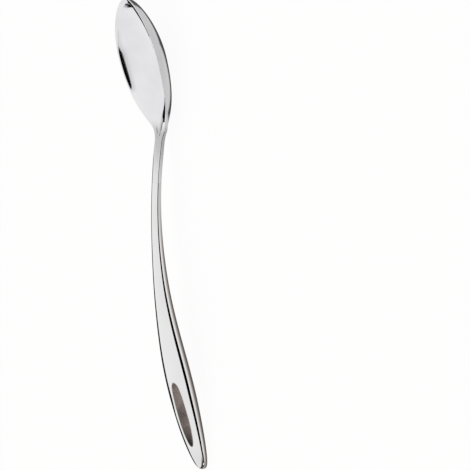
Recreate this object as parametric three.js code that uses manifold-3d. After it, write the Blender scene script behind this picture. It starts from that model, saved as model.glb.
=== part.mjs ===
// Serving spoon with a hollow handle, in millimetres, lying on a table at z = 0.
// +X points to the bowl's tip, +Z is up, and both sides of y = 0 are alike.
// A station s is a distance along the spoon from the bowl's tip.
import * as THREE from "three";
import { mergeVertices } from "three/addons/utils/BufferGeometryUtils.js";
import Module from "manifold-3d";

const wasm = await Module();
wasm.setup();

// Lengths along the spoon
const BOWL_LENGTH = 67.5; // bowl tip to the dip where the neck begins
const BOWL_WIDEST = 31; // bowl tip to the widest place of the bowl
const FOOT_FLARE = 6.5; // dip to where the neck's sides run straight
const NECK_LENGTH = 25.5; // dip to the joint with the handle
const HANDLE_LENGTH = 147; // joint to the handle's end
const HANDLE_WIDEST = 43; // handle's end back to its widest place
const ARCH_FROM_END = 97; // handle's end back to the top of its arch

// Widths
const BOWL_WIDTH = 39.5;
const FOOT_WIDTH = 7;
const NECK_WIDTH = 6.5;
const HANDLE_WIDTH = 22.4;

// Heights
const TIP_RISE = 10.8; // bowl tip above the dip
const ARCH_HEIGHT = 15.2; // edge of the face above the table, at the arch
const REST_CUT = 0.25; // depth of the small flats that the spoon lies on

// Bowl
const BOWL_DEPTH = 13; // outside, below the rim at the widest place
const BOWL_GAUGE = 1.5; // metal at the bottom of the bowl
const RIM_LAND = 1.3; // width of the flat rim
const RIM_EDGE = 0.4; // height of the rim's outer edge
const HEEL_REACH = 3.5; // how far the hollow runs past the dip
const DEPTH_POWER = 1.2; // how fast the bowl deepens with its width, behind its widest place
const FRONT_POWER = 1; // the same in front of it
const SECTION_POWER = 2.2; // fullness of every crowned or hollowed section

// Heights of the sides, and crowns of the face and the back
const NECK_EDGE = 1.8;
const HANDLE_EDGE = 3.9;
const END_EDGE = 2.8;
const NECK_CROWN = 0.6;
const CROWN_RUN = 18; // dip to where the neck is fully crowned
const FACE_CROWN = 1.1;
const BACK_CROWN = 0.7;

// Shells, tang and the fits between the pieces
const SHELL = 0.6; // sheet of both handle shells
const SEAM_GAP = 0.3; // between the two shells
const JOINT_GAP = 0.3; // between the neck and the shells
const TANG_LENGTH = 32; // past the joint
const TANG_GAP = 0.3; // all round the tang

// Hanging eye and the liner in it
const EYE_END = 12.8; // handle's end to the eye's point
const EYE_LENGTH = 32.7;
const EYE_WIDEST = 14.7; // eye's point back to its widest place
const EYE_WIDTH = 9; // inside the liner
const LINER_WALL = 0.6;
const LINER_GAP = 0.3; // liner to the shells

// How far each outline runs along its end tangents before it bends
const TIP_ROUND = 7.5;
const BOWL_FRONT_EASE = 16;
const BOWL_BACK_EASE = 31.8;
const FOOT_EASE = 11;
const NECK_EASE = 8;
const HANDLE_NECK_EASE = 62;
const HANDLE_WIDE_EASE = 26;
const HANDLE_END_EASE = 28;
const END_ROUND = 6.2;
const HEEL_EASE = 10;
const HEEL_SPREAD = 2;
const EYE_ROUND = 4;
const EYE_NEAR_EASE = 10.5;
const EYE_FAR_EASE = 7.7;
const EYE_POINT = 2.3;

// The same for the side view: runs along the spoon, and how much it falls over a run
const RIM_RUN = 55;
const RIM_FALL = 5;
const DIP_EASE = 2;
const NECK_RISE_EASE = 6;
const ARCH_NECK_EASE = 47;
const ARCH_END_EASE = 28;
const END_RUN = 28;
const END_FALL = 6.7;

// Facets
const BOWL_STEPS = 13;
const NECK_STEPS = 5;
const HANDLE_STEPS = 12;
const EYE_STEPS = 9;
const SECTION_STEPS = 14;

// Cutting solids reach this far past what they cut, and points closer than the merge distance are one
const OVERCUT = 4;
const MERGE = 1e-4;

// Stations worked out from the lengths
const LENGTH = BOWL_LENGTH + NECK_LENGTH + HANDLE_LENGTH;
const FOOT = BOWL_LENGTH + FOOT_FLARE;
const JOINT = BOWL_LENGTH + NECK_LENGTH;
const HANDLE_START = JOINT + JOINT_GAP;
const TANG_END = JOINT + TANG_LENGTH;
const WIDEST = LENGTH - HANDLE_WIDEST;
const ARCH = LENGTH - ARCH_FROM_END;
const EYE_POINT_AT = LENGTH - EYE_END;

// A cubic curve between two points (s, value), given the run along the tangent at each end
function cubic([s0, v0], [leaveS, leaveV], [arriveS, arriveV], [s1, v1]) {
  return new THREE.CubicBezierCurve(
    new THREE.Vector2(s0, v0),
    new THREE.Vector2(s0 + leaveS, v0 + leaveV),
    new THREE.Vector2(s1 - arriveS, v1 - arriveV),
    new THREE.Vector2(s1, v1),
  );
}

// Value of a chain of curves at station s, found by halving the curve's parameter
function valueAt(chain, s) {
  const curve = chain.find((piece) => s <= piece.v3.x) ?? chain.at(-1);
  let low = 0;
  let high = 1;
  while (high - low > 1e-9) {
    const middle = (low + high) / 2;
    if (curve.getPoint(middle).x < s) low = middle;
    else high = middle;
  }
  return curve.getPoint(high).y;
}

// Points [s, value] along a curve, moved outwards from the spoon's middle by a distance
function pointsAlong(curve, steps, distance) {
  const { v0, v1, v2, v3 } = curve;
  return Array.from({ length: steps + 1 }, (_, i) => {
    const t = i / steps;
    const point = curve.getPoint(t);
    const along = v1.clone().sub(v0).multiplyScalar((1 - t) ** 2);
    along.add(v2.clone().sub(v1).multiplyScalar(2 * (1 - t) * t));
    along.add(v3.clone().sub(v2).multiplyScalar(t ** 2)).normalize();
    return [point.x - along.y * distance, point.y + along.x * distance];
  });
}

// Half-widths seen from above
const bowlFront = cubic([0, 0], [0, TIP_ROUND], [BOWL_FRONT_EASE, 0], [BOWL_WIDEST, BOWL_WIDTH / 2]);
const bowlBack = cubic(
  [BOWL_WIDEST, BOWL_WIDTH / 2],
  [BOWL_BACK_EASE, 0],
  [FOOT_EASE, 0],
  [FOOT, FOOT_WIDTH / 2],
);
const neckSide = cubic([FOOT, FOOT_WIDTH / 2], [NECK_EASE, 0], [NECK_EASE, 0], [JOINT, NECK_WIDTH / 2]);
const handleNear = cubic(
  [JOINT, NECK_WIDTH / 2],
  [HANDLE_NECK_EASE, 0],
  [HANDLE_WIDE_EASE, 0],
  [WIDEST, HANDLE_WIDTH / 2],
);
const handleFar = cubic([WIDEST, HANDLE_WIDTH / 2], [HANDLE_END_EASE, 0], [0, -END_ROUND], [LENGTH, 0]);
const plan = [bowlFront, bowlBack, neckSide, handleNear, handleFar];

// Height of the face's edge above the dip, between the bowl's tip and the dip
const rimLine = cubic([0, TIP_RISE], [RIM_RUN, -RIM_FALL], [DIP_EASE, 0], [BOWL_LENGTH, 0]);

// Side height, face crown and back bulge of the bowl and neck. The share runs from 0 at the neck
// or the tip to 1 where the bowl is widest.
function bowlForm(s) {
  const halfWidth = valueAt(plan, s);
  const towardsNeck = s > BOWL_WIDEST;
  const least = towardsNeck ? FOOT_WIDTH / 2 : 0;
  const spread = Math.max(halfWidth - least, 0) / (BOWL_WIDTH / 2 - least);
  const share = spread ** (towardsNeck ? DEPTH_POWER : FRONT_POWER);
  const neck = towardsNeck ? 1 - share : 0;
  return {
    halfWidth,
    edge: RIM_EDGE + (NECK_EDGE - RIM_EDGE) * neck,
    crown: NECK_CROWN * THREE.MathUtils.smoothstep(s, BOWL_LENGTH, BOWL_LENGTH + CROWN_RUN),
    bulge: (BOWL_DEPTH - RIM_EDGE) * share + NECK_CROWN * neck,
  };
}

// The same for the handle. It swells from the joint to its widest place and fades to its end.
function handleForm(s) {
  const halfWidth = valueAt(plan, s);
  const swell = THREE.MathUtils.smoothstep(s, JOINT, WIDEST);
  const fade = THREE.MathUtils.smoothstep(s, WIDEST, LENGTH);
  const taper = s > WIDEST ? halfWidth / (HANDLE_WIDTH / 2) : 1;
  const edge = THREE.MathUtils.lerp(NECK_EDGE, HANDLE_EDGE, swell);
  return {
    halfWidth,
    edge: THREE.MathUtils.lerp(edge, END_EDGE, fade),
    crown: THREE.MathUtils.lerp(NECK_CROWN, FACE_CROWN, swell) * taper,
    bulge: THREE.MathUtils.lerp(NECK_CROWN, BACK_CROWN, swell) * taper,
  };
}

// The dip's height puts the bowl's lowest point just under the table, where a flat is cut
const lowPoints = bowlBack.getPoints(BOWL_STEPS * SECTION_STEPS).map(({ x }) => {
  const { edge, bulge } = bowlForm(x);
  return valueAt([rimLine], Math.min(x, BOWL_LENGTH)) - edge - bulge;
});
const DIP_HEIGHT = -Math.min(...lowPoints) - REST_CUT;
const ARCH_RISE = ARCH_HEIGHT - DIP_HEIGHT;
const END_RISE = END_EDGE - REST_CUT - DIP_HEIGHT;
const neckLine = cubic([BOWL_LENGTH, 0], [NECK_RISE_EASE, 0], [ARCH_NECK_EASE, 0], [ARCH, ARCH_RISE]);
const handleLine = cubic([ARCH, ARCH_RISE], [ARCH_END_EASE, 0], [END_RUN, -END_FALL], [LENGTH, END_RISE]);
const faceLine = [rimLine, neckLine, handleLine];

// Round of a section: 1 at its middle and 0 at its sides
function roundAt(y, halfWidth) {
  return halfWidth > 0 ? 1 - Math.min(Math.abs(y) / halfWidth, 1) ** SECTION_POWER : 0;
}

// The spoon's outer section at a station: half-width, and heights of its face and back across it
function section(s) {
  const { halfWidth, edge, crown, bulge } = s > JOINT ? handleForm(s) : bowlForm(s);
  const level = DIP_HEIGHT + valueAt(faceLine, s);
  return {
    halfWidth,
    face: (y) => level + crown * roundAt(y, halfWidth),
    back: (y) => level - edge - bulge * roundAt(y, halfWidth),
  };
}

const toX = (s) => LENGTH / 2 - s;

// A ring of points goes over a section from -y to +y and back under it, closer at the sides
function ring(s, halfWidth, top, bottom) {
  const angle = (i) => Math.PI * (i / SECTION_STEPS - 0.5);
  const ys = Array.from({ length: SECTION_STEPS + 1 }, (_, i) => halfWidth * Math.sin(angle(i)));
  const over = ys.map((y) => new THREE.Vector3(toX(s), y, top(y)));
  const under = ys.toReversed().map((y) => new THREE.Vector3(toX(s), y, bottom(y)));
  return [...over, ...under];
}

// A closed solid through rings, given from the bowl's end to the handle's end.
// A ring of no width closes its end by itself.
function loft(rings) {
  const count = rings[0].length;
  const faces = [];
  for (let i = 0; i + 1 < rings.length; i += 1) {
    for (let j = 0; j < count; j += 1) {
      const here = i * count + j;
      const next = i * count + ((j + 1) % count);
      faces.push(here, next, next + count, here, next + count, here + count);
    }
  }
  const cap = (index, turned) => {
    const outline = rings[index].map(({ y, z }) => new THREE.Vector2(y, z));
    for (const face of THREE.ShapeUtils.triangulateShape(outline, [])) {
      const clockwise = THREE.ShapeUtils.isClockWise(face.map((j) => outline[j]));
      const corners = face.map((j) => index * count + j);
      faces.push(...(clockwise === turned ? corners : corners.toReversed()));
    }
  };
  const wide = (index) => rings[index].some(({ y }) => y > MERGE);
  if (wide(0)) cap(0, false);
  if (wide(rings.length - 1)) cap(rings.length - 1, true);
  const geometry = new THREE.BufferGeometry();
  const positions = rings.flat().flatMap((point) => point.toArray());
  geometry.setAttribute("position", new THREE.Float32BufferAttribute(positions, 3));
  geometry.setIndex(faces);
  return solid(geometry);
}

// A solid that can be joined and cut, from a closed geometry
function solid(geometry) {
  geometry.deleteAttribute("normal");
  geometry.deleteAttribute("uv");
  const merged = mergeVertices(geometry, MERGE);
  const index = merged.index.array;
  const triVerts = [];
  for (let i = 0; i < index.length; i += 3) {
    const [a, b, c] = index.slice(i, i + 3);
    if (a !== b && b !== c && c !== a) triVerts.push(a, b, c);
  }
  const mesh = new wasm.Mesh({
    numProp: 3,
    vertProperties: new Float32Array(merged.attributes.position.array),
    triVerts: new Uint32Array(triVerts),
  });
  return new wasm.Manifold(mesh);
}

// An upright prism through the whole handle, over a half outline of points [s, y] and its mirror image
function prism(half) {
  const mirrored = half.slice(1, -1).toReversed().map(([s, y]) => [s, -y]);
  const shape = new THREE.Shape([...half, ...mirrored].map(([s, y]) => new THREE.Vector2(toX(s), y)));
  const depth = ARCH_HEIGHT + 2 * OVERCUT;
  const geometry = new THREE.ExtrudeGeometry(shape, { depth, bevelEnabled: false });
  return solid(geometry.translate(0, 0, -OVERCUT));
}

// Stations where the outline is cut into facets
const stationsOf = (curve, steps) => curve.getPoints(steps).map(({ x }) => x);
const bowlStations = [
  ...stationsOf(bowlFront, BOWL_STEPS),
  ...stationsOf(bowlBack, BOWL_STEPS).slice(1),
  ...stationsOf(neckSide, NECK_STEPS).slice(1),
];
const handleStations = [
  HANDLE_START,
  ...stationsOf(handleNear, HANDLE_STEPS).filter((s) => s > HANDLE_START + SHELL),
  ...stationsOf(handleFar, HANDLE_STEPS).slice(1),
];

// Everything below the table top, to cut the flats that the spoon lies on
const underTable = solid(
  new THREE.BoxGeometry(2 * LENGTH, 2 * BOWL_WIDTH, 2 * BOWL_DEPTH).translate(0, 0, -BOWL_DEPTH),
);

// Bowl and neck in one, with the hollow cut out of it
function makeBowl() {
  const outside = loft(bowlStations.map((s) => {
    const { halfWidth, face, back } = section(s);
    return ring(s, halfWidth, face, back);
  }));
  const hollowWidth = BOWL_WIDTH / 2 - RIM_LAND;
  const heel = BOWL_LENGTH + HEEL_REACH;
  const hollowBack = cubic(
    [BOWL_WIDEST, hollowWidth],
    [BOWL_BACK_EASE, 0],
    [HEEL_EASE, -HEEL_SPREAD],
    [heel, 0],
  );
  const hollowOutline = [
    ...pointsAlong(bowlFront, BOWL_STEPS, -RIM_LAND),
    ...pointsAlong(hollowBack, BOWL_STEPS, 0).slice(1),
  ];
  const hollow = loft(hollowOutline.map(([s, halfWidth]) => {
    const { face } = section(s);
    const power = s > BOWL_WIDEST ? DEPTH_POWER : FRONT_POWER;
    const depth = (BOWL_DEPTH - BOWL_GAUGE) * (halfWidth / hollowWidth) ** power;
    return ring(s, halfWidth, () => face(0) + OVERCUT, (y) => face(y) - depth * roundAt(y, halfWidth));
  }));
  return outside.subtract(hollow).add(makeTang()).subtract(underTable);
}

// Tang behind the neck: it fills the near end of the hollow handle, less the gap all round
function makeTang() {
  const inside = SHELL + TANG_GAP;
  const between = stationsOf(handleNear, HANDLE_STEPS).filter((s) => s < TANG_END - SHELL);
  return loft([JOINT - OVERCUT, ...between, TANG_END].map((s) => {
    const { halfWidth, face, back } = section(s);
    return ring(s, halfWidth - inside, (y) => face(y) - inside, (y) => back(y) + inside);
  }));
}

// Hollow of the handle, open above and at the joint
function makeCavity() {
  const outline = [
    ...pointsAlong(handleNear, HANDLE_STEPS, -SHELL),
    ...pointsAlong(handleFar, HANDLE_STEPS, -SHELL).slice(1),
  ];
  const rings = outline.map(([s, halfWidth]) => {
    const { face, back } = section(s);
    return ring(s, halfWidth, () => face(0) + OVERCUT, (y) => back(y) + SHELL);
  });
  const mouth = rings[0].map((point) => point.clone().setX(toX(JOINT - OVERCUT)));
  return loft([mouth, ...rings]);
}

// Eye outline, moved outwards by a distance
function eyeOutline(distance) {
  const wide = [EYE_POINT_AT - EYE_WIDEST, EYE_WIDTH / 2];
  const near = cubic([EYE_POINT_AT - EYE_LENGTH, 0], [0, EYE_ROUND], [EYE_NEAR_EASE, 0], wide);
  const far = cubic(wide, [EYE_FAR_EASE, 0], [0, -EYE_POINT], [EYE_POINT_AT, 0]);
  return [...pointsAlong(near, EYE_STEPS, distance), ...pointsAlong(far, EYE_STEPS, distance).slice(1)];
}
const eyeWindow = prism(eyeOutline(LINER_WALL + LINER_GAP));

// Back shell: a tray with the sides and the underside
function makeHandleBack() {
  const block = loft(handleStations.map((s) => {
    const { halfWidth, face, back } = section(s);
    return ring(s, halfWidth, (y) => face(y) - SHELL - SEAM_GAP, back);
  }));
  return block.subtract(makeCavity()).subtract(eyeWindow).subtract(underTable);
}

// Front shell: the crowned face that closes the tray
function makeHandleFront() {
  const sheet = loft(handleStations.map((s) => {
    const { halfWidth, face } = section(s);
    return ring(s, halfWidth, face, (y) => face(y) - SHELL);
  }));
  return sheet.subtract(eyeWindow);
}

// Liner: a sleeve through both shells, flush with the face and the back
function makeEyeLiner() {
  const handle = loft(handleStations.map((s) => {
    const { halfWidth, face, back } = section(s);
    return ring(s, halfWidth, face, back);
  }));
  return handle.intersect(prism(eyeOutline(LINER_WALL))).subtract(prism(eyeOutline(0)));
}

// A named mesh of a finished solid
function piece(name, finished, color, roughness) {
  const { vertProperties, triVerts } = finished.getMesh();
  const geometry = new THREE.BufferGeometry();
  geometry.setAttribute("position", new THREE.BufferAttribute(vertProperties, 3));
  geometry.setIndex(new THREE.BufferAttribute(triVerts, 1));
  geometry.computeVertexNormals();
  const material = new THREE.MeshStandardMaterial({ color, roughness, metalness: 1 });
  const mesh = new THREE.Mesh(geometry, material);
  mesh.name = name;
  return mesh;
}

const POLISHED_STEEL = 0xd6d8da;
const DARK_STEEL = 0x5f574f;
const spoon = new THREE.Group();
spoon.add(piece("bowl", makeBowl(), POLISHED_STEEL, 0.1));
spoon.add(piece("handle_back", makeHandleBack(), POLISHED_STEEL, 0.1));
spoon.add(piece("handle_front", makeHandleFront(), POLISHED_STEEL, 0.1));
spoon.add(piece("eye_liner", makeEyeLiner(), DARK_STEEL, 0.4));
export default spoon;
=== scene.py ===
"""A polished serving spoon with a hollow handle, lying on a pale table."""

import functools
import math

import bmesh
import bpy
from mathutils import Matrix, Vector

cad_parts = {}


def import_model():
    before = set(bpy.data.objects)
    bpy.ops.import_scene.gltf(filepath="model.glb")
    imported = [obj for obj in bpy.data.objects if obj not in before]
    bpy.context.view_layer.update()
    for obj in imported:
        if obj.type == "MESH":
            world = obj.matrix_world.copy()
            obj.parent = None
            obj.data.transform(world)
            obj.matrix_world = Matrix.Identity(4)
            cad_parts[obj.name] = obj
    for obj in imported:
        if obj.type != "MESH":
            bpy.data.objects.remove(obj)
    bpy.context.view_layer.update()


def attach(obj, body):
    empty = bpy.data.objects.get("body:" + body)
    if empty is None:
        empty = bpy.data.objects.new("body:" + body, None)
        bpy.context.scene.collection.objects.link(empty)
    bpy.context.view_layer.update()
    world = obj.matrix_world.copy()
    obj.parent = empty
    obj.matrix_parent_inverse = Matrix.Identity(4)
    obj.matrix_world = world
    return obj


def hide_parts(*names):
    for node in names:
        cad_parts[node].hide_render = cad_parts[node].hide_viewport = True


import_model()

# The bowl, its neck and the tang behind it are one forging of stainless steel. It is struck in a die,
# ground round the rim and polished to a mirror. The tang goes into the hollow handle and is brazed there.
# A station s is a distance in millimetres from the bowl's tip, and y is a distance from the middle line.
MM = 0.001
HALVINGS = 48  # enough to find a place on a curve to far below a thousandth of a millimetre


def curve(start, leave, arrive, end):
    """A cubic curve that leaves its start and arrives at its end by these runs."""
    second = (start[0] + leave[0], start[1] + leave[1])
    third = (end[0] - arrive[0], end[1] - arrive[1])
    return start, second, third, end


def point_on(line, t):
    weights = ((1 - t) ** 3, 3 * t * (1 - t) ** 2, 3 * t * t * (1 - t), t ** 3)
    return tuple(sum(w * p[i] for w, p in zip(weights, line)) for i in (0, 1))


def outward(line, t):
    """Direction across an outline, away from the spoon's middle."""
    a, b, c, d = (Vector(p) for p in line)
    run = (b - a) * (1 - t) ** 2 + (c - b) * 2 * t * (1 - t) + (d - c) * t * t
    run.normalize()
    return -run.y, run.x


def last_place(low, high, holds):
    """The last place between two at which a test still holds, found by halving."""
    for _ in range(HALVINGS):
        middle = (low + high) / 2
        low, high = (middle, high) if holds(middle) else (low, middle)
    return low


@functools.cache
def reading(chain, s):
    """Value of a chain of curves at station s."""
    line = next((piece for piece in chain if s <= piece[3][0]), chain[-1])
    return point_on(line, last_place(0, 1, lambda t: point_on(line, t)[0] < s))[1]


def smooth_share(s, start, end):
    share = min(max((s - start) / (end - start), 0), 1)
    return share * share * (3 - 2 * share)


def swelling(s, rise, fall):
    """Share that rises from 0 to 1 over one run of stations and falls again over another."""
    return smooth_share(s, *rise) * (1 - smooth_share(s, *fall))


def blend(a, b, share):
    return a + (b - a) * share


def soft_least(a, b, softness):
    """The lesser of two heights, rounded where they meet."""
    near = max(softness - abs(a - b), 0) / softness
    return min(a, b) - near * near * softness / 4


# The outline of one half of the whole spoon, seen from above. Each ease, round or spread is the run,
# along and across, by which a curve leaves or arrives.
SPOON_LENGTH = 240
BOWL_WIDEST = 31
BOWL_LENGTH = 67.5  # to the dip where the neck begins
HEEL = 71  # where the hollow runs out
FOOT = 74  # where the neck's sides begin to run straight
JOINT = 93  # where the neck meets the handle
WIDEST = 197  # widest place of the handle
HALF_BOWL = 19.75
HALF_FOOT = 3.5
HALF_NECK = 3.25
HALF_HANDLE = 11.2
RIM_LAND = 1.3  # width of the flat rim, before the changes along it
TIP_ROUND = (0, 7.5)
BOWL_FRONT_EASE = (16, 0)
BOWL_BACK_EASE = (31.8, 0)
HEEL_SPREAD = (10, -2)
FOOT_EASE = (11, 0)
NECK_EASE = (8, 0)
HANDLE_NECK_EASE = (62, 0)
HANDLE_WIDE_EASE = (26, 0)
HANDLE_END_EASE = (28, 0)
END_ROUND = (0, -6.2)
bowl_front = curve((0, 0), TIP_ROUND, BOWL_FRONT_EASE, (BOWL_WIDEST, HALF_BOWL))
bowl_back = curve((BOWL_WIDEST, HALF_BOWL), BOWL_BACK_EASE, FOOT_EASE, (FOOT, HALF_FOOT))
hollow_back = curve((BOWL_WIDEST, HALF_BOWL - RIM_LAND), BOWL_BACK_EASE, HEEL_SPREAD, (HEEL, 0))
neck_side = curve((FOOT, HALF_FOOT), NECK_EASE, NECK_EASE, (JOINT, HALF_NECK))
handle_near = curve((JOINT, HALF_NECK), HANDLE_NECK_EASE, HANDLE_WIDE_EASE, (WIDEST, HALF_HANDLE))
handle_far = curve((WIDEST, HALF_HANDLE), HANDLE_END_EASE, END_ROUND, (SPOON_LENGTH, 0))
OUTLINE = (bowl_front, bowl_back, neck_side, handle_near, handle_far)

# The section at each station: a side of some height, a crowned face above it and a bulged back below it.
# The sides' heights and the crowns are those at the rim, the neck, the handle's widest place and its end.
BOWL_DEPTH = 13  # outside, below the rim at the widest place
BOWL_GAUGE = 1.5  # metal at the bottom of the bowl
DEPTH_POWER = 1.2  # how fast the bowl deepens with its width, behind its widest place
FRONT_POWER = 1  # the same in front of it
SECTION_POWER = 2.2  # fullness of every crowned or bulged section
LEAST_WIDTH = 1e-6  # a width below this counts as none
RIM_EDGE = 0.4
NECK_EDGE = 1.8
HANDLE_EDGE = 3.9
END_EDGE = 2.8
NECK_CROWN = 0.6
CROWN_RUN = 18  # from the dip to where the neck is fully crowned
FACE_CROWN = 1.1
STEM_CROWN = 0.06  # share by which the face's crown is higher along the stem
STEM_CROWN_RUN = ((110, 130), (182, 196))
EYE_CROWN = 0.24  # share by which it is lower beside the eye
EYE_CROWN_RUN = ((199, 213), (231, 238))
BACK_CROWN = 0.7


def depth_power(s):
    """How fast the bowl deepens with its width."""
    return DEPTH_POWER if s > BOWL_WIDEST else FRONT_POWER


@functools.cache
def form(s):
    """Half-width, side height, face crown and back bulge of the spoon at a station."""
    half_width = reading(OUTLINE, s)
    if s > JOINT:
        growth = smooth_share(s, JOINT, WIDEST)
        taper = half_width / HALF_HANDLE if s > WIDEST else 1
        side = blend(blend(NECK_EDGE, HANDLE_EDGE, growth), END_EDGE, smooth_share(s, WIDEST, SPOON_LENGTH))
        crown = blend(NECK_CROWN, FACE_CROWN, growth) * taper
        crown *= 1 + STEM_CROWN * swelling(s, *STEM_CROWN_RUN)
        crown *= 1 - EYE_CROWN * swelling(s, *EYE_CROWN_RUN)
        return half_width, side, crown, blend(NECK_CROWN, BACK_CROWN, growth) * taper
    least = HALF_FOOT if s > BOWL_WIDEST else 0
    share = (max(half_width - least, 0) / (HALF_BOWL - least)) ** depth_power(s)
    neck = 1 - share if s > BOWL_WIDEST else 0
    bulge = (BOWL_DEPTH - RIM_EDGE) * share + NECK_CROWN * neck
    crown = NECK_CROWN * smooth_share(s, BOWL_LENGTH, BOWL_LENGTH + CROWN_RUN)
    return half_width, RIM_EDGE + (NECK_EDGE - RIM_EDGE) * neck, crown, bulge


# The line of the face's edge along the spoon. It falls from the tip to the dip at the neck, rises over the
# handle's arch and comes down to the table. Each ease, run or fall is along and up. The dip's height is
# what lets the bowl touch the table.
TIP_RISE = 10.8  # the tip above the dip
ARCH = 143  # station of the arch's top
ARCH_HEIGHT = 15.2  # of the face's edge there, above the table
REST_CUT = 0.25  # depth of the small flats that touch the table
REST_SOFTNESS = 0.2  # how softly those flats begin
RIM_RUN = (55, -5)
DIP_EASE = (2, 0)
NECK_RISE_EASE = (6, 0)
ARCH_NECK_EASE = (47, 0)
ARCH_END_EASE = (28, 0)
END_FALL = (28, -6.7)
DEPTH_PLACES = 182  # places along the bowl's back at which its lowest point is looked for
rim_line = curve((0, TIP_RISE), RIM_RUN, DIP_EASE, (BOWL_LENGTH, 0))


def underside_of_rim(t):
    """Height of the bowl's bottom above the dip, at a place on the bowl's outline."""
    s = point_on(bowl_back, t)[0]
    return reading((rim_line,), min(s, BOWL_LENGTH)) - form(s)[1] - form(s)[3]


DIP_HEIGHT = -min(underside_of_rim(i / DEPTH_PLACES) for i in range(DEPTH_PLACES + 1)) - REST_CUT
ARCH_RISE = ARCH_HEIGHT - DIP_HEIGHT
END_RISE = END_EDGE - REST_CUT - DIP_HEIGHT
neck_line = curve((BOWL_LENGTH, 0), NECK_RISE_EASE, ARCH_NECK_EASE, (ARCH, ARCH_RISE))
handle_line = curve((ARCH, ARCH_RISE), ARCH_END_EASE, END_FALL, (SPOON_LENGTH, END_RISE))
FACE_LINE = (rim_line, neck_line, handle_line)


def crowned(y, half_width):
    return 1 - min(abs(y) / half_width, 1) ** SECTION_POWER if half_width > LEAST_WIDTH else 0


def face(s, y):
    half_width, _, crown, _ = form(s)
    return DIP_HEIGHT + reading(FACE_LINE, s) + crown * crowned(y, half_width)


def back(s, y):
    """Height of the underside, worn flat where the spoon touches the table."""
    half_width, side, _, bulge = form(s)
    height = DIP_HEIGHT + reading(FACE_LINE, s) - side - bulge * crowned(y, half_width)
    return -soft_least(-height, 0, REST_SOFTNESS)


# The side of the spoon, all round: a small round, a polished bevel and a bulged wall. Each arc has the
# tilt in degrees to which it turns, and its radius where the side is 1 mm high.
EDGE_ARCS = ((46, 0.25), (58, 1.45), (76, 0.9), (90, 0.6))
BEVEL_ARCS = 2  # how many of them lie above the handle's seam, the last of them being the bevel
NECK_BEVEL = 0.4  # share of the bevel's radius that is left at the bowl and the neck
BEVEL_RUN = (80, 185)  # stations over which the bevel grows
UNDER_ROUND = 0.2  # radius of the round at the back's edge, where the side is 1 mm high
ARC_STEPS = 4
FEELER = 0.04  # step over which a slope is measured
SETTLING = 4  # rounds in which the width of the edge and the tilt at its start settle


def side_points(spot, out, seam=0):
    """Points down the bevelled edge, down the wall below a seam, and round to the back."""
    height = form(spot[0])[1]
    turns = [math.radians(turn) for turn, _ in EDGE_ARCS]
    radii = [radius * height for _, radius in EDGE_ARCS]
    radii[BEVEL_ARCS - 1] *= blend(NECK_BEVEL, 1, smooth_share(spot[0], *BEVEL_RUN))
    under_radius = UNDER_ROUND * height

    def inside(distance):
        return spot[0] - out[0] * distance, spot[1] - out[1] * distance

    def tilt(surface, distance):
        near, far = inside(distance), inside(distance + FEELER)
        return math.atan((surface(*far) - surface(*near)) / FEELER)

    def edge_width(turn):
        return sum(r * (math.sin(b) - math.sin(a)) for r, a, b in zip(radii, [turn] + turns, turns))

    turn = under_turn = 0
    for _ in range(SETTLING):
        turn = tilt(face, edge_width(turn))
        under_turn = -tilt(back, under_radius * (1 - math.sin(under_turn)))
    distance = edge_width(turn)
    level = face(*inside(distance))
    bevel, wall = [(*inside(distance), level)], []
    for i, (end, radius) in enumerate(zip(turns, radii)):
        if i == BEVEL_ARCS:
            lower = math.acos(math.cos(turn) - seam / radius)
            distance -= radius * (math.sin(lower) - math.sin(turn))
            level -= seam
            turn = lower
            wall.append((*inside(distance), level))
        for j in range(1, ARC_STEPS + 1):
            now = blend(turn, end, j / ARC_STEPS)
            place = inside(distance - radius * (math.sin(now) - math.sin(turn)))
            drop = radius * (math.cos(turn) - math.cos(now))
            (bevel if i < BEVEL_ARCS else wall).append((*place, level - drop))
        distance -= radius * (math.sin(end) - math.sin(turn))
        level -= radius * (math.cos(turn) - math.cos(end))
        turn = end
    under = []
    level = back(*inside(under_radius * (1 - math.sin(under_turn))))
    for j in range(ARC_STEPS + 1):
        now = blend(math.pi / 2, math.pi - under_turn, j / ARC_STEPS)
        rise = under_radius * (math.cos(now) + math.cos(under_turn))
        under.append((*inside(under_radius * (1 - math.sin(now))), level + rise))
    return bevel, wall, under


# The flat rim round the hollow. It is wide in front and beside the heel, narrow along the bowl's middle,
# and falls a little towards the hollow at both ends. Each run gives the stations of a change.
FRONT_LAND = 1.5  # by how much it is wider in front
FRONT_LAND_RUN = (4, 16)
TIP_LAND = 0.3  # what is taken off at the very tip
TIP_LAND_RUN = (0, 3)
MIDDLE_LAND = 0.7  # by how much it is narrower along the middle
MIDDLE_LAND_RUN = ((19, 31), (48, 56))
HEEL_LAND = 3.4  # by how much it is wider beside the heel
HEEL_LAND_RUN = ((49, 59), (59.5, 63.5))
RIM_FALL = 0.165  # slope of its fall in front
RIM_FALL_RUN = (14, 26)
RIM_SLANT = (-0.263, 0.965)  # direction up that slope, as a step along and a step across
HEEL_FALL = 0.235  # slope of its fall beside the heel, straight across
HEEL_FALL_RUN = ((47, 50), (61.5, 64.5))
LAND_SLOPE = 1.05  # slope at which the hollow leaves it
LAND_SOFTNESS = 0.15  # how softly it turns into the hollow
HEEL_SOFTNESS = 1.6  # what is added to that at the heel
HEEL_SOFTNESS_RUN = (59, 65)
HOLLOW_EASE = 0.11  # how much the hollow's wall eases towards the rim
HEEL_EASE = 0.45  # what is added to that towards the heel
HEEL_EASE_RUN = (48, 60)
NECK_CREASE = 0.4  # where its inner line runs on over the neck, as a share of the half-width


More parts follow.
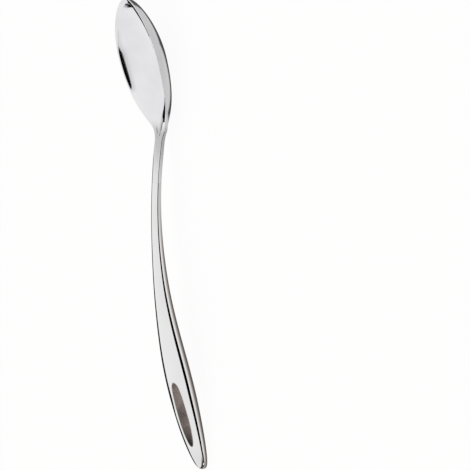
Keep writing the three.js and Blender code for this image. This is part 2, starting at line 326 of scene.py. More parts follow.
def front_fall(s, y):
    """How far the flat rim lies below the bowl's edge in front. It is level along the bowl's middle."""
    def on_the_bowl(step):
        ahead, across = s + RIM_SLANT[0] * step, y + RIM_SLANT[1] * step
        return ahead > 0 and across < reading(OUTLINE, ahead)

    return RIM_FALL * last_place(0, HALF_BOWL, on_the_bowl) * (1 - smooth_share(s, *RIM_FALL_RUN))


def rim_land(s):
    """Width of the flat rim."""
    front = FRONT_LAND * (1 - smooth_share(s, *FRONT_LAND_RUN))
    tip = TIP_LAND * (1 - smooth_share(s, *TIP_LAND_RUN))
    middle = MIDDLE_LAND * swelling(s, *MIDDLE_LAND_RUN)
    heel = HEEL_LAND * swelling(s, *HEEL_LAND_RUN)
    return RIM_LAND + front - tip - middle + heel


def rim_softness(s):
    return LAND_SOFTNESS + HEEL_SOFTNESS * smooth_share(s, *HEEL_SOFTNESS_RUN)


def hollow_height(s, y, half_width, full_width, drop):
    """Height inside the bowl, where the hollow begins so far from the middle and below the rim."""
    rim = face(s, y) - drop
    if half_width < LEAST_WIDTH:
        return rim
    depth = (BOWL_DEPTH - BOWL_GAUGE) * (full_width / (HALF_BOWL - RIM_LAND)) ** depth_power(s)
    across = (y / half_width) ** 2
    ease = HOLLOW_EASE + HEEL_EASE * smooth_share(s, *HEEL_EASE_RUN)
    eased = (1 - across) * (1 - ease * min(across, 1))
    return soft_least(rim, rim - max(depth - drop, 0) * eased, rim_softness(s))


# The forging's mesh, in rows across it from the tip to the tang's end. The tang has the neck's section,
# drawn in.
FRONT_ROWS = 60
BACK_ROWS = 54
NECK_ROWS = 20
TANG_ROWS = 4
HOLLOW_COLUMNS = 22
LAND_COLUMNS = 6
LAND_CROWDING = 1.5  # how much those columns crowd towards the hollow
UNDER_COLUMNS = 22
TANG_END = 125
TANG_WIDTH = 0.7  # as shares of the neck's width and thickness
TANG_THICKNESS = 0.38
MERGE = 1e-6  # in metres: points closer than this become one
SLIVER = 1e-7  # in metres: edges shorter than this are closed


def mirrored_sheet(rows):
    """A sheet through rows of points on one side of the middle line, joined to its mirror image."""
    sheet = bmesh.new()
    last_row, last_column = len(rows) - 1, len(rows[0]) - 1
    bmesh.ops.create_grid(sheet, x_segments=last_row, y_segments=last_column, size=0.5)
    for vert in sheet.verts:
        row = rows[round((vert.co.x + 0.5) * last_row)]
        s, y, z = row[round((vert.co.y + 0.5) * last_column)]
        vert.co = (SPOON_LENGTH / 2 - s) * MM, y * MM, z * MM
    everything = sheet.verts[:] + sheet.edges[:] + sheet.faces[:]
    bmesh.ops.mirror(sheet, geom=everything, matrix=Matrix(), merge_dist=SLIVER, axis="Y")
    bmesh.ops.remove_doubles(sheet, verts=sheet.verts, dist=MERGE)
    bmesh.ops.dissolve_degenerate(sheet, edges=sheet.edges, dist=SLIVER)
    bmesh.ops.recalc_face_normals(sheet, faces=sheet.faces)
    return sheet


def bowl_row(line, t):
    """One line of points over half of the bowl: hollow, flat rim, rounded edge and underside."""
    spot, out = point_on(line, t), outward(line, t)
    bevel, wall, under = side_points(spot, out)
    rim = bevel[0][:2]
    if line is bowl_front:
        land = rim_land(spot[0])
        crease = spot[0] - out[0] * land, spot[1] - out[1] * land
        half_hollow, full_hollow = max(crease[1], 0), max(spot[1] - out[1] * RIM_LAND, 0)
        fall_at_rim = front_fall(*rim)
    else:
        full_hollow = reading((hollow_back,), rim[0]) if rim[0] < HEEL else 0
        half_hollow = max(full_hollow + RIM_LAND - rim_land(rim[0]), 0) if full_hollow else 0
        crease = rim[0], max(half_hollow, NECK_CREASE * rim[1])
        slope = HEEL_FALL * swelling(rim[0], *HEEL_FALL_RUN)

    def below_edge(s, y):
        if line is bowl_front:
            return max(front_fall(s, y) - fall_at_rim, 0)
        return slope * math.dist((s, y), rim)

    row = []
    drop = below_edge(*crease)
    for i in range(HOLLOW_COLUMNS):
        y = crease[1] * math.sin(math.pi / 2 * i / HOLLOW_COLUMNS)
        row.append((crease[0], y, hollow_height(crease[0], y, half_hollow, full_hollow, drop)))
    for i in range(LAND_COLUMNS):
        share = (i / LAND_COLUMNS) ** LAND_CROWDING
        s, y = blend(crease[0], rim[0], share), blend(crease[1], rim[1], share)
        level = face(s, y) - below_edge(s, y)
        if half_hollow > LEAST_WIDTH:
            clear = math.dist((s, y), (crease[0], half_hollow))
            level = soft_least(level, level + LAND_SLOPE * clear, rim_softness(s))
        row.append((s, y, level))
    row += bevel + wall[1:] + under
    s, reach, _ = under[-1]
    for i in range(1, UNDER_COLUMNS + 1):
        y = reach * math.cos(math.pi / 2 * i / UNDER_COLUMNS)
        row.append((s, y, back(s, y)))
    return [(s, max(y, 0), z) for s, y, z in row]


def tang_row(ring, s, across, through):
    """The neck's last ring drawn in to the tang, and moved along to station s."""
    start = (face(ring[0][0], 0) + back(ring[0][0], 0)) / 2
    middle = (face(s, 0) + back(s, 0)) / 2
    return [(s, y * across, middle + (z - start) * through) for _, y, z in ring]


bowl_rows = [bowl_row(bowl_front, i / FRONT_ROWS) for i in range(FRONT_ROWS)]
bowl_rows += [bowl_row(bowl_back, i / BACK_ROWS) for i in range(BACK_ROWS)]
bowl_rows += [bowl_row(neck_side, i / NECK_ROWS) for i in range(NECK_ROWS + 1)]
neck_end = [(JOINT, y, z) for _, y, z in bowl_rows[-1]]
bowl_rows[-1] = neck_end
for i in range(TANG_ROWS + 1):
    bowl_rows.append(tang_row(neck_end, blend(JOINT, TANG_END, i / TANG_ROWS), TANG_WIDTH, TANG_THICKNESS))
bowl_rows.append(tang_row(neck_end, TANG_END, 0, 0))
bowl_sheet = mirrored_sheet(bowl_rows)
for edge in bowl_sheet.edges:
    if all(abs(vert.co.x - (SPOON_LENGTH / 2 - JOINT) * MM) < MERGE for vert in edge.verts):
        edge.smooth = False

# The steel's finish. Real polishing lines are too fine to show here, so they are drawn coarser.
LINE_WIDTH = 0.5  # of a polishing line, in mm
LINE_DEPTH = 0.02  # of the same, in mm
HAZE_SIZE = 14  # of a patch of haze, in mm
NECK_SHADE_RUN = ((63, 70), (72, JOINT))  # stations over which the neck is painted darker, as painted shade, and clear again


def linear(code):
    """A colour written as sRGB hex, as the linear values that Blender's shaders take."""
    parts = [int(code[i:i + 2], 16) / 255 for i in (1, 3, 5)]
    return [c / 12.92 if c <= 0.04045 else ((c + 0.055) / 1.055) ** 2.4 for c in parts] + [1]


def emptied(made):
    """A new material or world, with its nodes cleared away."""
    made.use_nodes = True
    made.node_tree.nodes.clear()
    return made


def add_node(tree, kind, settings=None, **inputs):
    """One node with its own settings, and with values or other nodes' sockets on its inputs."""
    made = tree.nodes.new(kind)
    for name, value in (settings or {}).items():
        setattr(made, name, value)
    for name, value in inputs.items():
        socket = made.inputs[int(name[1:])] if name[1:].isdigit() else made.inputs[name.replace("_", " ")]
        if isinstance(value, bpy.types.NodeSocket):
            tree.links.new(value, socket)
        else:
            socket.default_value = value
    return made


def polished_steel(name, light, shade, painted_shade_colour, lines_along, smooth, hazy):
    """Stainless steel polished on a wheel: a clear mirror with faint polishing lines and a little haze.
    The piece's own map of painted shade says where its colour is painted darker, standing in for darker
    reflections."""
    made = emptied(bpy.data.materials.new(name))
    tree = made.node_tree
    place = add_node(tree, "ShaderNodeTexCoord").outputs["Object"]
    line_scale = (1 / (lines_along * MM), 1 / (LINE_WIDTH * MM), 1 / (LINE_WIDTH * MM))
    drawn_out = add_node(tree, "ShaderNodeMapping", Vector=place, Scale=line_scale)
    lines = add_node(tree, "ShaderNodeTexNoise", Vector=drawn_out.outputs[0], Scale=1, Detail=3,
                     Roughness=0.6)
    haze = add_node(tree, "ShaderNodeTexNoise", Vector=place, Scale=1 / (HAZE_SIZE * MM), Detail=2,
                    Roughness=0.5)
    both = add_node(tree, "ShaderNodeMath", {"operation": "MULTIPLY"},
                    _0=lines.outputs["Fac"], _1=haze.outputs["Fac"])
    rough = add_node(tree, "ShaderNodeMapRange", Value=both.outputs[0], From_Min=0.1, From_Max=0.45,
                     To_Min=smooth, To_Max=hazy)
    bright = add_node(tree, "ShaderNodeMix", {"data_type": "RGBA"}, _0=haze.outputs["Fac"],
                      _6=linear(light), _7=linear(shade))
    # painted shade: the colour is mixed towards a dark tone where the piece's map says, standing in for
    # darker reflections
    painted_shade = add_node(tree, "ShaderNodeAttribute", {"attribute_name": "painted_shade"})
    tone = add_node(tree, "ShaderNodeMix", {"data_type": "RGBA"}, _0=painted_shade.outputs["Fac"],
                    _6=bright.outputs[2], _7=linear(painted_shade_colour))
    bump = add_node(tree, "ShaderNodeBump", Strength=0.04, Distance=LINE_DEPTH * MM,
                    Height=lines.outputs["Fac"])
    shader = add_node(tree, "ShaderNodeBsdfPrincipled", Base_Color=tone.outputs[2], Metallic=1,
                      Roughness=rough.outputs[0], Normal=bump.outputs[0])
    add_node(tree, "ShaderNodeOutputMaterial", Surface=shader.outputs[0])
    return made


def finished_piece(name, sheet, material):
    """An object from a shaped mesh, smooth but for the edges that are marked sharp."""
    mesh = bpy.data.meshes.new(name)
    sheet.to_mesh(mesh)
    sheet.free()
    mesh.materials.append(material)
    mesh.polygons.foreach_set("use_smooth", [True] * len(mesh.polygons))
    made = bpy.data.objects.new(name, mesh)
    bpy.context.scene.collection.objects.link(made)
    return made


def map_painted_shade(made, painted_shade):
    """Writes a piece's painted shade, from 0 to 1, on its points."""
    mesh = made.data
    values = []
    for vert in mesh.vertices:
        s, z = SPOON_LENGTH / 2 - vert.co.x / MM, vert.co.z / MM
        values.append(painted_shade(s, z, vert.normal))
    mesh.attributes.new("painted_shade", "FLOAT", "POINT").data.foreach_set("value", values)


def painted_neck_shade(s, z, normal):
    """Painted shade: the neck is painted darkest where it leaves the bowl, standing in for a darker
    reflection there.
    """
    return swelling(s, *NECK_SHADE_RUN)


# the dark colour here is the neck's painted shade
bowl_steel = polished_steel("bowl_polished_stainless_steel", light="#D5D5D6", shade="#BFBFC2",
                            painted_shade_colour="#A9A9A9", lines_along=12, smooth=0.02, hazy=0.06)
bowl = finished_piece("bowl_forging", bowl_sheet, bowl_steel)
map_painted_shade(bowl, painted_neck_shade)
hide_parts("bowl")
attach(bowl, "root")

# The front shell of the handle is a pressed sheet of the same steel, crowned across and rounded at its
# edge. It closes the tray below it, where a fine seam runs all round, and an almond window is cut in it.
SHELL = 0.6  # thickness of the sheet
EDGE_INSET = 1.2  # from the outline in to where the face begins, near the eye
EYE_POINT_AT = 227.2  # station of the eye's point
EYE_LENGTH = 32.7  # inside the liner
EYE_WIDEST = 14.7  # from the eye's point back to its widest place
HALF_EYE = 4.5
EYE_ROUND = (0, 4)  # a run along and across, as in the spoon's outline, and so are the next three
EYE_NEAR_EASE = (10.5, 0)
EYE_FAR_EASE = (7.7, 0)
EYE_POINT = (0, -2.3)
LINER_WALL = 0.6  # thickness of the liner
SEAM = 0.12  # height of the fine seam between the two shells
END_SEAM = 0.3  # what is added to it round the handle's end
END_SEAM_RUN = (226, 237)
EYE_SEAM = 0.03  # between the liner and the window
NECK_SEAM = 0.02  # between the neck and the shells
END_SHADE = 0.12  # painted shade of the face at the handle's end
END_SHADE_RUN = (222, 236)
EDGE_LEAN = (0.2, 0.32)  # how far the edge leans where its painted dark reflection begins and where it is darkest
EDGE_SHADE_RUN = (230, 236)
SHARP = 50  # edges that turn by more degrees than this stay sharp
STEM_ROWS = 84
WINDOW_ROWS = 24
END_ROWS = 40
PLATE_COLUMNS = 24
eye_wide = (EYE_POINT_AT - EYE_WIDEST, HALF_EYE)
eye_near = curve((EYE_POINT_AT - EYE_LENGTH, 0), EYE_ROUND, EYE_NEAR_EASE, eye_wide)
eye_far = curve(eye_wide, EYE_FAR_EASE, EYE_POINT, (EYE_POINT_AT, 0))


def eye_outline(distance, steps):
    """Points round half of the almond eye, moved outwards from it."""
    spots = []
    for line in (eye_near, eye_far):
        for i in range(steps + (line is eye_far)):
            (s, y), out = point_on(line, i / steps), outward(line, i / steps)
            spots.append((s + out[0] * distance, max(y + out[1] * distance, 0)))
    return spots


def handle_line_at(place):
    """The curve of the handle's outline on which a place from 0 to 2 lies, and how far along it."""
    return (handle_near, place) if place < 1 else (handle_far, place - 1)


def handle_place(s, inset):
    """The place on the handle's outline whose point so far inside it lies at station s."""
    def before(place):
        line, t = handle_line_at(place)
        return point_on(line, t)[0] - outward(line, t)[0] * inset < s

    return last_place(0, 2, before)


def handle_stations(inset):
    """Rows of the handle: place on the outline, and half-width of the window there."""
    window = eye_outline(LINER_WALL + EYE_SEAM, WINDOW_ROWS)
    start = JOINT + NECK_SEAM
    rows = [(handle_place(blend(start, window[0][0], i / STEM_ROWS), inset), 0) for i in range(STEM_ROWS)]
    rows += [(handle_place(s, inset), y) for s, y in window]
    first = rows[-1][0]
    return rows + [(blend(first, 2, (i + 1) / END_ROWS), 0) for i in range(END_ROWS)]


def handle_side(place):
    """The handle's side at a place on its outline."""
    line, t = handle_line_at(place)
    spot = point_on(line, t)
    return side_points(spot, outward(line, t), SEAM + END_SEAM * smooth_share(spot[0], *END_SEAM_RUN))


def plate_row(place, window):
    """One line of points over half of the face, from the middle line or the window to the seam."""
    bevel = handle_side(place)[0]
    s, reach, _ = bevel[0]
    row = []
    for i in range(PLATE_COLUMNS):
        y = blend(window, max(reach, window), math.sin(math.pi / 2 * i / PLATE_COLUMNS))
        row.append((s, y, face(s, y)))
    return [(s, max(y, 0), z) for s, y, z in row + bevel]


def keep_sharp(sheet):
    """Marks the edges at which a cut or pressed piece turns sharply."""
    for edge in sheet.edges:
        if len(edge.link_faces) == 2 and edge.calc_face_angle() > math.radians(SHARP):
            edge.smooth = False


def make_shell(rows, upwards):
    """A pressed sheet with its metal's thickness, sharp along its cut edges."""
    sheet = mirrored_sheet(rows)
    lean = sum(part.normal.z * part.calc_area() for part in sheet.faces)
    if (lean > 0) is not upwards:
        bmesh.ops.reverse_faces(sheet, faces=sheet.faces)
    bmesh.ops.solidify(sheet, geom=sheet.faces[:], thickness=SHELL * MM)
    bmesh.ops.recalc_face_normals(sheet, faces=sheet.faces)
    keep_sharp(sheet)
    return sheet


def painted_end_shade(s, z, normal):
    """Painted shade: the face is painted a little darker at its end, and its edge there is painted dark, a
    painted reflection of the dark gap behind the spoon.
    """
    edge = smooth_share(1 - normal.z, *EDGE_LEAN) * smooth_share(s, *EDGE_SHADE_RUN)
    return max(END_SHADE * smooth_share(s, *END_SHADE_RUN), edge)


stations = handle_stations(EDGE_INSET)
front_sheet = make_shell([plate_row(place, window) for place, window in stations], True)
# the near-black colour is the painted reflection on the face's edge at the handle's end
front_steel = polished_steel("face_polished_stainless_steel", light="#CFCFCF", shade="#C8C8C8",
                             painted_shade_colour="#3E3A38", lines_along=30, smooth=0.02, hazy=0.06)
front = finished_piece("handle_front_shell", front_sheet, front_steel)
map_painted_shade(front, painted_end_shade)
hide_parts("handle_front")
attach(front, "root")

# The back shell is a deeper pressing of the same steel: a tray with the handle's sides and underside.
# It is brazed to the tang at the neck and to the front shell along the seam.
TRAY_COLUMNS = 22
NECK_SHADE = 0.3  # painted shade that matches the neck's steel at the joint
NECK_SHADE_END = 135  # station where that has given way to the sides' painted shade
SIDE_DEPTH = (0.3, 0.78)  # share of the side's height where the painted shade begins and where it is full
TIP_SHADE = 0.75  # least painted shade of the side at the handle's end
TIP_SHADE_RUN = (228, 239)


def tray_row(place, window):
    """One line of points over half of the tray, from the seam round the side to the middle line."""
    _, wall, under = handle_side(place)
    row = wall + under
    s, reach, _ = under[-1]
    for i in range(1, TRAY_COLUMNS + 1):
        y = blend(window, max(reach, window), math.cos(math.pi / 2 * i / TRAY_COLUMNS))
        row.append((s, y, back(s, y)))
    return [(s, max(y, 0), z) for s, y, z in row]


def painted_side_shade(s, z, normal):
    """Painted shade: the shell's sides are painted darkest low down, where they turn under, standing in for
    the reflection of the shadowed table, and it fades out towards the neck.
    """
    s = min(s, SPOON_LENGTH)
    depth = (DIP_HEIGHT + reading(FACE_LINE, s) - z) / form(s)[1]
    low = max(smooth_share(depth, *SIDE_DEPTH), TIP_SHADE * smooth_share(s, *TIP_SHADE_RUN))
    return blend(NECK_SHADE, low * (1 - normal.z ** 2), smooth_share(s, JOINT, NECK_SHADE_END))


back_sheet = make_shell([tray_row(place, window) for place, window in stations], False)
# the light tone is brighter than the face's steel; with the painted shade it paints the sides' reflection,
# bright at the seam and dark low down
back_steel = polished_steel("back_polished_stainless_steel", light="#E9E7E5", shade="#DFDDDB",
                            painted_shade_colour="#463F3A", lines_along=30, smooth=0.03, hazy=0.08)
back_shell = finished_piece("handle_back_shell", back_sheet, back_steel)
map_painted_shade(back_shell, painted_side_shade)
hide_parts("handle_back")
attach(back_shell, "root")

# The liner is a sleeve of dark, satin oxidised steel round the hanging eye. It ties the two shells
# together there, and its ends are flush with the face and the back.
LINER_ROWS = 30
LINER_STEPS = 14
CLOUD_SIZE = 5  # of an uneven patch in the dark finish, in mm
GRAIN_SIZE = 0.3  # of its satin grain, in mm
GRAIN_DEPTH = 0.03  # of the same, in mm
DARKENING_RUN = (-101, -107)  # along the spoon, in mm: where it starts to get darker towards the eye's point and where it is darkest
DARKENING_LEVELS = (0.42, 1.1)  # how dark it is at those two places, where 1 is darkest
HIGHLIGHT_SPOT = (-82, 3.5, 9.5)  # where a painted highlight makes it lighter, in mm
HIGHLIGHT_REACH = (1, 7.5)  # from there, in mm: where it is lightest and where that ends
HIGHLIGHT_LIFT = 0.6  # how much of that darkness the painted highlight takes away there
MOTTLE = 0.2  # how much the uneven patches add to it or take from it


def wall_points(spot):
    """Points down one wall of the liner, from the face to the back."""
    return [(*spot, blend(face(*spot), back(*spot), i / LINER_STEPS)) for i in range(LINER_STEPS + 1)]


def oxidised_steel():
    """Steel darkened in an oxidising bath: a satin brown-grey that is a little uneven."""
    made = emptied(bpy.data.materials.new("liner_oxidised_satin_steel"))
    tree = made.node_tree
    place = add_node(tree, "ShaderNodeTexCoord").outputs["Object"]
    cloud = add_node(tree, "ShaderNodeTexNoise", Vector=place, Scale=1 / (CLOUD_SIZE * MM), Detail=4,
                     Roughness=0.6)
    grain = add_node(tree, "ShaderNodeTexNoise", Vector=place, Scale=1 / (GRAIN_SIZE * MM), Detail=2,
                     Roughness=0.6)
    along = add_node(tree, "ShaderNodeSeparateXYZ", Vector=place)
    darkening = add_node(tree, "ShaderNodeMapRange", Value=along.outputs["X"], From_Min=DARKENING_RUN[0] * MM,
                     From_Max=DARKENING_RUN[1] * MM, To_Min=DARKENING_LEVELS[0], To_Max=DARKENING_LEVELS[1])
    # painted highlight: a lighter spot near the eye's start on the far side, standing in for light from the
    # face
    away = add_node(tree, "ShaderNodeVectorMath", {"operation": "DISTANCE"}, _0=place,
                    _1=[value * MM for value in HIGHLIGHT_SPOT])
    painted_highlight = add_node(tree, "ShaderNodeMapRange", {"interpolation_type": "SMOOTHSTEP"},
                      Value=away.outputs["Value"], From_Min=HIGHLIGHT_REACH[0] * MM,
                      From_Max=HIGHLIGHT_REACH[1] * MM, To_Min=-HIGHLIGHT_LIFT, To_Max=0)
    mottle = add_node(tree, "ShaderNodeMapRange", Value=cloud.outputs["Fac"], From_Min=0.3, From_Max=0.7,
                      To_Min=-MOTTLE, To_Max=MOTTLE)
    darkening_and_highlight = add_node(tree, "ShaderNodeMath", {"operation": "ADD"},
                    _0=darkening.outputs[0], _1=painted_highlight.outputs[0])
    uneven = add_node(tree, "ShaderNodeMath", {"operation": "ADD"},
                      _0=darkening_and_highlight.outputs[0], _1=mottle.outputs[0])
    tone = add_node(tree, "ShaderNodeMix", {"data_type": "RGBA"}, _0=uneven.outputs[0],
                    _6=linear("#A2958F"), _7=linear("#26211E"))
    rough = add_node(tree, "ShaderNodeMapRange", Value=grain.outputs["Fac"], From_Min=0.3, From_Max=0.7,
                     To_Min=0.38, To_Max=0.52)
    bump = add_node(tree, "ShaderNodeBump", Strength=0.15, Distance=GRAIN_DEPTH * MM,
                    Height=grain.outputs["Fac"])
    shader = add_node(tree, "ShaderNodeBsdfPrincipled", Base_Color=tone.outputs[2], Metallic=0.6,
                      Roughness=rough.outputs[0], Normal=bump.outputs[0])
    add_node(tree, "ShaderNodeOutputMaterial", Surface=shader.outputs[0])
    return made


liner_rows = []
for inner_spot, outer_spot in zip(eye_outline(0, LINER_ROWS), eye_outline(LINER_WALL, LINER_ROWS)):
    inner_wall, outer_wall = wall_points(inner_spot), wall_points(outer_spot)
    liner_rows.append(inner_wall + outer_wall[::-1] + inner_wall[:1])
liner_sheet = mirrored_sheet(liner_rows)
keep_sharp(liner_sheet)
liner = finished_piece("eye_liner_sleeve", liner_sheet, oxidised_steel())
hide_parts("eye_liner")
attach(liner, "root")

# The table is a plain sheet of matt white paper. The camera sees it lifted towards white, and mirrors a
# little less so, and it keeps a faint shadow of the spoon. Mirrors see a painted shadow on it close under
# the spoon.
TABLE_SIZE = 4.0  # half of its side, in metres
LIFT_SEEN = 0.95  # share of plain white that the camera sees
LIFT_MIRRORED = 0.88  # share of it that mirrors see
PAPER_LEVEL = 0.95  # how bright mirrors see the paper beside the spoon
PAPER_EDGE = 90  # how far the white paper reaches behind the spoon, in mm
PAINTED_SHADOW_LEVEL = 0.06  # how bright mirrors see it in the painted shadow under the spoon
PAINTED_SHADOW_WIDTH = (8.5, 10.5)  # from the middle line, in mm: where that painted shadow begins to fade and where it has
PAINTED_SHADOW_START = (52, 60)  # along the spoon, in mm: it begins where the raised neck comes down to the bowl
PAINTED_SHADOW_SHIFT = 11  # how far it is moved behind the raised tip, in mm
PAINTED_SHADOW_SHIFT_RUN = (97, 116)  # along the spoon, in mm


def white_paper():
    """Matt white paper, which a camera or a mirror sees partly as a plain white sheet; mirrors also see a
    painted shadow on it under the spoon.
    """
    made = emptied(bpy.data.materials.new("table_matt_white_paper"))
    tree = made.node_tree
    ray = add_node(tree, "ShaderNodeLightPath")
    seen = add_node(tree, "ShaderNodeMath", {"operation": "MULTIPLY"},
                    _0=ray.outputs["Is Camera Ray"], _1=LIFT_SEEN)
    mirrored = add_node(tree, "ShaderNodeMath", {"operation": "MAXIMUM"},
                        _0=ray.outputs["Is Glossy Ray"], _1=ray.outputs["Is Transmission Ray"])
    lift = add_node(tree, "ShaderNodeMath", {"operation": "MULTIPLY_ADD"}, _0=mirrored.outputs[0],
                    _1=LIFT_MIRRORED, _2=seen.outputs[0])
    place = add_node(tree, "ShaderNodeTexCoord").outputs["Object"]
    place = add_node(tree, "ShaderNodeSeparateXYZ", Vector=place)
    shift = add_node(tree, "ShaderNodeMapRange", Value=place.outputs["X"], From_Min=PAINTED_SHADOW_SHIFT_RUN[0] * MM,
                     From_Max=PAINTED_SHADOW_SHIFT_RUN[1] * MM, To_Min=0, To_Max=PAINTED_SHADOW_SHIFT * MM)
    aside = add_node(tree, "ShaderNodeMath", {"operation": "SUBTRACT"},
                     _0=place.outputs["Y"], _1=shift.outputs[0])
    away = add_node(tree, "ShaderNodeMath", {"operation": "ABSOLUTE"}, _0=aside.outputs[0])
    # painted shadow: mirrors see the paper dark in a band under the spoon, moved behind the raised tip
    painted_shadow = add_node(tree, "ShaderNodeMapRange", Value=away.outputs[0], From_Min=PAINTED_SHADOW_WIDTH[0] * MM,
                    From_Max=PAINTED_SHADOW_WIDTH[1] * MM, To_Min=PAINTED_SHADOW_LEVEL, To_Max=PAPER_LEVEL)
    before = add_node(tree, "ShaderNodeMapRange", Value=place.outputs["X"], From_Min=PAINTED_SHADOW_START[0] * MM,
                      From_Max=PAINTED_SHADOW_START[1] * MM, To_Min=PAPER_LEVEL, To_Max=0)
    level = add_node(tree, "ShaderNodeMath", {"operation": "MAXIMUM"},
                     _0=painted_shadow.outputs[0], _1=before.outputs[0])
    on_paper = add_node(tree, "ShaderNodeMath", {"operation": "LESS_THAN"},
                        _0=place.outputs["Y"], _1=PAPER_EDGE * MM)
    mirrored_level = add_node(tree, "ShaderNodeMath", {"operation": "MULTIPLY"},
                              _0=level.outputs[0], _1=on_paper.outputs[0])
    glow = add_node(tree, "ShaderNodeMath", {"operation": "MAXIMUM"},
                    _0=mirrored_level.outputs[0], _1=ray.outputs["Is Camera Ray"])
    matt = add_node(tree, "ShaderNodeBsdfDiffuse", Color=linear("#F6F3F0"))
    white = add_node(tree, "ShaderNodeEmission", Color=linear("#FEFEFE"), Strength=glow.outputs[0])
    shader = add_node(tree, "ShaderNodeMixShader", _0=lift.outputs[0], _1=matt.outputs[0],
                      _2=white.outputs[0])
    add_node(tree, "ShaderNodeOutputMaterial", Surface=shader.outputs[0])
    return made


table_sheet = bmesh.new()
bmesh.ops.create_grid(table_sheet, x_segments=1, y_segments=1, size=TABLE_SIZE)
table = finished_piece("table", table_sheet, white_paper())

# The light is a white tent all round, with a dark opening above the camera and a dark gap low down
# behind the spoon. The camera itself sees plain white where it looks past the table.
TENT_LIGHT = 1.28
DARK_LIGHT = 0.004  # what comes in through the opening and the gap
OPENING = (29.3, 57)  # in degrees from straight up towards the camera
OPENING_SOFT = 0.4  # degrees over which its edges fade, to each side
OPENING_END = (0.44, 0.56)  # towards the bowl's tip, as sines of the angle along the spoon
FRINGE = 5  # degrees above the opening over which the tent is a little darker
FRINGE_LEVEL = 0.8  # share of the tent's light that is left at the opening's edge
GAP_TOP = (0.16, 0.19)  # height of the gap, as sines of the angle above the table
GAP_SIDE = (0.2, 0.4)  # where the gap begins at the sides, as sines of the angle towards the back


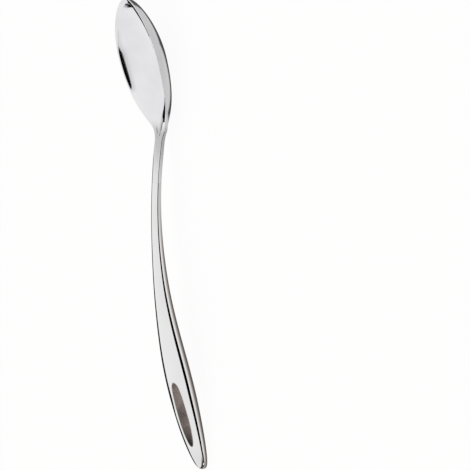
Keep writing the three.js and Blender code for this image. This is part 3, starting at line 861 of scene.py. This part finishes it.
def light_tent():
    """The white tent, the opening and the gap, as a light from all directions."""
    made = emptied(bpy.data.worlds.new("light_tent"))
    tree = made.node_tree
    soft = {"interpolation_type": "SMOOTHSTEP"}
    toward = add_node(tree, "ShaderNodeTexCoord").outputs["Generated"]
    toward = add_node(tree, "ShaderNodeSeparateXYZ", Vector=toward)
    near_side = add_node(tree, "ShaderNodeMath", {"operation": "MULTIPLY"}, _0=toward.outputs["Y"], _1=-1)
    lean = add_node(tree, "ShaderNodeMath", {"operation": "ARCTAN2"},
                    _0=near_side.outputs[0], _1=toward.outputs["Z"])
    top = add_node(tree, "ShaderNodeMapRange", soft, Value=lean.outputs[0], To_Min=0, To_Max=1,
                   From_Min=math.radians(OPENING[0] - OPENING_SOFT),
                   From_Max=math.radians(OPENING[0] + OPENING_SOFT))
    foot = add_node(tree, "ShaderNodeMapRange", soft, Value=lean.outputs[0], To_Min=1, To_Max=0,
                    From_Min=math.radians(OPENING[1] - OPENING_SOFT),
                    From_Max=math.radians(OPENING[1] + OPENING_SOFT))
    end = add_node(tree, "ShaderNodeMapRange", soft, Value=toward.outputs["X"], To_Min=1, To_Max=0,
                   From_Min=OPENING_END[0], From_Max=OPENING_END[1])
    height = add_node(tree, "ShaderNodeMath", {"operation": "MULTIPLY"},
                      _0=top.outputs[0], _1=foot.outputs[0])
    opening = add_node(tree, "ShaderNodeMath", {"operation": "MULTIPLY"},
                       _0=height.outputs[0], _1=end.outputs[0])
    low = add_node(tree, "ShaderNodeMapRange", soft, Value=toward.outputs["Z"], To_Min=1, To_Max=0,
                   From_Min=GAP_TOP[0], From_Max=GAP_TOP[1])
    behind = add_node(tree, "ShaderNodeMapRange", soft, Value=toward.outputs["Y"], To_Min=0, To_Max=1,
                      From_Min=GAP_SIDE[0], From_Max=GAP_SIDE[1])
    gap = add_node(tree, "ShaderNodeMath", {"operation": "MULTIPLY"},
                   _0=low.outputs[0], _1=behind.outputs[0])
    dark = add_node(tree, "ShaderNodeMath", {"operation": "MAXIMUM"},
                    _0=opening.outputs[0], _1=gap.outputs[0])
    cloth = add_node(tree, "ShaderNodeMapRange", soft, Value=lean.outputs[0], To_Min=TENT_LIGHT,
                     To_Max=FRINGE_LEVEL * TENT_LIGHT, From_Min=math.radians(OPENING[0] - FRINGE),
                     From_Max=math.radians(OPENING[0]))
    level = add_node(tree, "ShaderNodeMapRange", Value=dark.outputs[0], From_Min=0, From_Max=1,
                     To_Min=cloth.outputs[0], To_Max=DARK_LIGHT)
    tent = add_node(tree, "ShaderNodeBackground", Color=linear("#FFFFFF"), Strength=level.outputs[0])
    plain = add_node(tree, "ShaderNodeBackground", Color=linear("#FDFDFD"), Strength=1)
    seen = add_node(tree, "ShaderNodeLightPath").outputs["Is Camera Ray"]
    mixed = add_node(tree, "ShaderNodeMixShader", _0=seen, _1=tent.outputs[0], _2=plain.outputs[0])
    add_node(tree, "ShaderNodeOutputWorld", Surface=mixed.outputs[0])
    return made


bpy.context.scene.world = light_tent()
bpy.context.scene.view_settings.view_transform = "Standard"

# The camera stands about 29 degrees above the table, a little towards the bowl's end, with a long lens,
# and is rolled so that the spoon stands upright in the picture.
IMAGE_SIDE = 470
AZIMUTH = 15.27  # degrees, as the next two
ELEVATION = 28.787
ROLL = -103.147
PIXELS_PER_MM = 2.0522
ORIGIN_PIXEL = (180.52, 231.30)  # where the frame's origin falls in the picture
CAMERA_DISTANCE = 5000  # in mm, as the next one
SENSOR_WIDTH = 36
SIGHT_END = 20  # in metres
azimuth, elevation, roll = (math.radians(angle) for angle in (AZIMUTH, ELEVATION, ROLL))
level_right = Vector((math.cos(azimuth), math.sin(azimuth), 0))
level_away = Vector((-math.sin(azimuth), math.cos(azimuth), 0))
to_camera = Vector((0, 0, 1)) * math.sin(elevation) - level_away * math.cos(elevation)
level_up = to_camera.cross(level_right)
right = level_right * math.cos(roll) + level_up * math.sin(roll)
up = level_up * math.cos(roll) - level_right * math.sin(roll)
aside = (IMAGE_SIDE / 2 - ORIGIN_PIXEL[0]) / PIXELS_PER_MM
above = (ORIGIN_PIXEL[1] - IMAGE_SIDE / 2) / PIXELS_PER_MM
lens = bpy.data.cameras.new("camera")
lens.sensor_width = SENSOR_WIDTH
lens.lens = PIXELS_PER_MM * CAMERA_DISTANCE * SENSOR_WIDTH / IMAGE_SIDE
lens.clip_end = SIGHT_END
camera = bpy.data.objects.new("camera", lens)
bpy.context.scene.collection.objects.link(camera)
turned = Matrix((right, up, to_camera)).transposed().to_4x4()
turned.translation = (to_camera * CAMERA_DISTANCE + right * aside + up * above) * MM
camera.matrix_world = turned
bpy.context.scene.camera = camera
